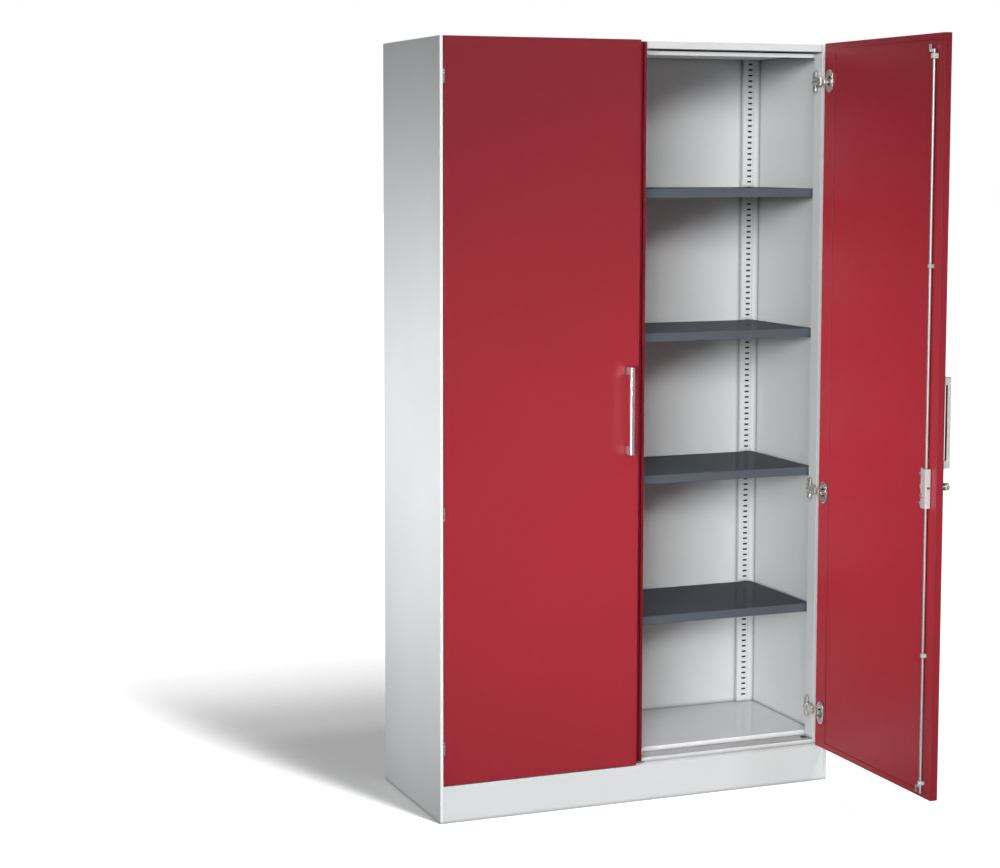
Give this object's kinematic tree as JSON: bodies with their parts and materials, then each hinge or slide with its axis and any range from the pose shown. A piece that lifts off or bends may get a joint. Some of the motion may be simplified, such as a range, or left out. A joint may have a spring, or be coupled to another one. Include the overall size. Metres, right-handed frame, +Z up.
{
  "type": "two-door steel storage cabinet",
  "caption": "Tall sheet-steel storage cabinet on a plinth with hinged flush doors, bar handles, a turning-rod lock, concealed hinges and shelves on slotted rails",
  "frame": {"origin": "on the floor at mid-width, in the middle of the plinth's 40 mm foot flange, 20 mm behind the closed doors' front plane", "axes": "+Z up, +X to the cabinet's right as seen from the front, +Y towards its back"},
  "size_m": [1.123, 0.9655, 1.95],
  "materials": {
    "grey_powder_coat": "light grey powder coat, fine texture, satin",
    "red_powder_coat": "ruby red powder coat, fine texture, satin",
    "anthracite_powder_coat": "anthracite powder coat, smooth, low gloss",
    "satin_handle": "satin, fine brushed",
    "nickel": "nickel plated, bright",
    "zinc_plate": "bright zinc plated",
    "black_plastic": "moulded, matt",
    "pale_plastic": "moulded, satin"
  },
  "bodies": {
    "carcass": {"side_panel_left": "grey_powder_coat", "side_panel_right": "grey_powder_coat", "front_post_left": "grey_powder_coat", "front_post_right": "grey_powder_coat", "rear_rail_left": "grey_powder_coat", "rear_rail_right": "grey_powder_coat", "back_panel": "grey_powder_coat", "top_panel": "grey_powder_coat", "ceiling_panel": "grey_powder_coat", "floor_panel": "grey_powder_coat", "base_ledge": "grey_powder_coat", "plinth_front": "grey_powder_coat", "base_channel_front": "zinc_plate", "base_channel_rear": "zinc_plate", "shelf_1": "anthracite_powder_coat", "shelf_2": "anthracite_powder_coat", "shelf_3": "anthracite_powder_coat", "shelf_4": "anthracite_powder_coat", "foot_access_cap_left": "black_plastic", "foot_access_cap_right": "black_plastic", "rod_keeper_top": "zinc_plate", "rod_keeper_bottom": "zinc_plate", "left_door_glide": "black_plastic", "hinge_arm_bottom_left": "nickel", "hinge_arm_bottom_right": "nickel", "hinge_arm_middle_left": "nickel", "hinge_arm_middle_right": "nickel", "hinge_arm_top_left": "nickel", "hinge_arm_top_right": "nickel"},
    "left_door": {"door_skin_left": "red_powder_coat", "door_inner_left": "red_powder_coat", "strike_strip": "red_powder_coat", "handle_left": "satin_handle", "hinge_cup_bottom_left": "nickel", "hinge_cup_middle_left": "nickel", "hinge_cup_top_left": "nickel"},
    "right_door": {"door_skin_right": "red_powder_coat", "door_inner_right": "red_powder_coat", "handle_right": "satin_handle", "lock_case": "zinc_plate", "lock_rosette": "nickel", "hinge_cup_bottom_right": "nickel", "hinge_cup_middle_right": "nickel", "hinge_cup_top_right": "nickel", "rod_guide_top": "pale_plastic", "rod_guide_upper": "pale_plastic", "rod_guide_lower": "pale_plastic", "rod_guide_bottom": "pale_plastic"},
    "lock_turn": {"lock_cylinder": "nickel"},
    "upper_rod": {"lock_rod_upper": "zinc_plate"},
    "lower_rod": {"lock_rod_lower": "zinc_plate"},
    "foot_front_left": {"levelling_foot_front_left": "zinc_plate"},
    "foot_front_right": {"levelling_foot_front_right": "zinc_plate"},
    "foot_rear_left": {"levelling_foot_rear_left": "zinc_plate"},
    "foot_rear_right": {"levelling_foot_rear_right": "zinc_plate"}
  },
  "joints": [
    {"name": "left_door_hinge", "type": "hinge", "parent": "carcass", "child": "left_door", "pos_m": [-0.537, -0.02, 1], "axis": [0, 0, -1], "range_deg": [0, 110]},
    {"name": "right_door_hinge", "type": "hinge", "parent": "carcass", "child": "right_door", "pos_m": [0.537, -0.02, 1], "axis": [0, 0, 1], "range_deg": [-90, 20]},
    {"name": "lock_key_turn", "type": "hinge", "parent": "right_door", "child": "lock_turn", "pos_m": [0.537, -0.5325, 0.862], "axis": [1, 0, 0], "range_deg": [0, 90]},
    {"name": "upper_rod_turn", "type": "hinge", "parent": "right_door", "child": "upper_rod", "pos_m": [0.51, -0.5325, 1.4], "axis": [0, 0, 1], "range_deg": [0, 90]},
    {"name": "lower_rod_turn", "type": "hinge", "parent": "right_door", "child": "lower_rod", "pos_m": [0.51, -0.5325, 0.45], "axis": [0, 0, 1], "range_deg": [0, 90]},
    {"name": "foot_front_left_screw", "type": "slide", "parent": "carcass", "child": "foot_front_left", "axis": [0, 0, -1], "range_m": [-0.01, 0.012]},
    {"name": "foot_front_right_screw", "type": "slide", "parent": "carcass", "child": "foot_front_right", "axis": [0, 0, -1], "range_m": [-0.01, 0.012]},
    {"name": "foot_rear_left_screw", "type": "slide", "parent": "carcass", "child": "foot_rear_left", "axis": [0, 0, -1], "range_m": [-0.01, 0.012]},
    {"name": "foot_rear_right_screw", "type": "slide", "parent": "carcass", "child": "foot_rear_right", "axis": [0, 0, -1], "range_m": [-0.01, 0.012]}
  ],
  "couplings": [
    {"joint": "upper_rod_turn", "follows": "lock_key_turn", "ratio": 1},
    {"joint": "lower_rod_turn", "follows": "lock_key_turn", "ratio": 1}
  ]
}
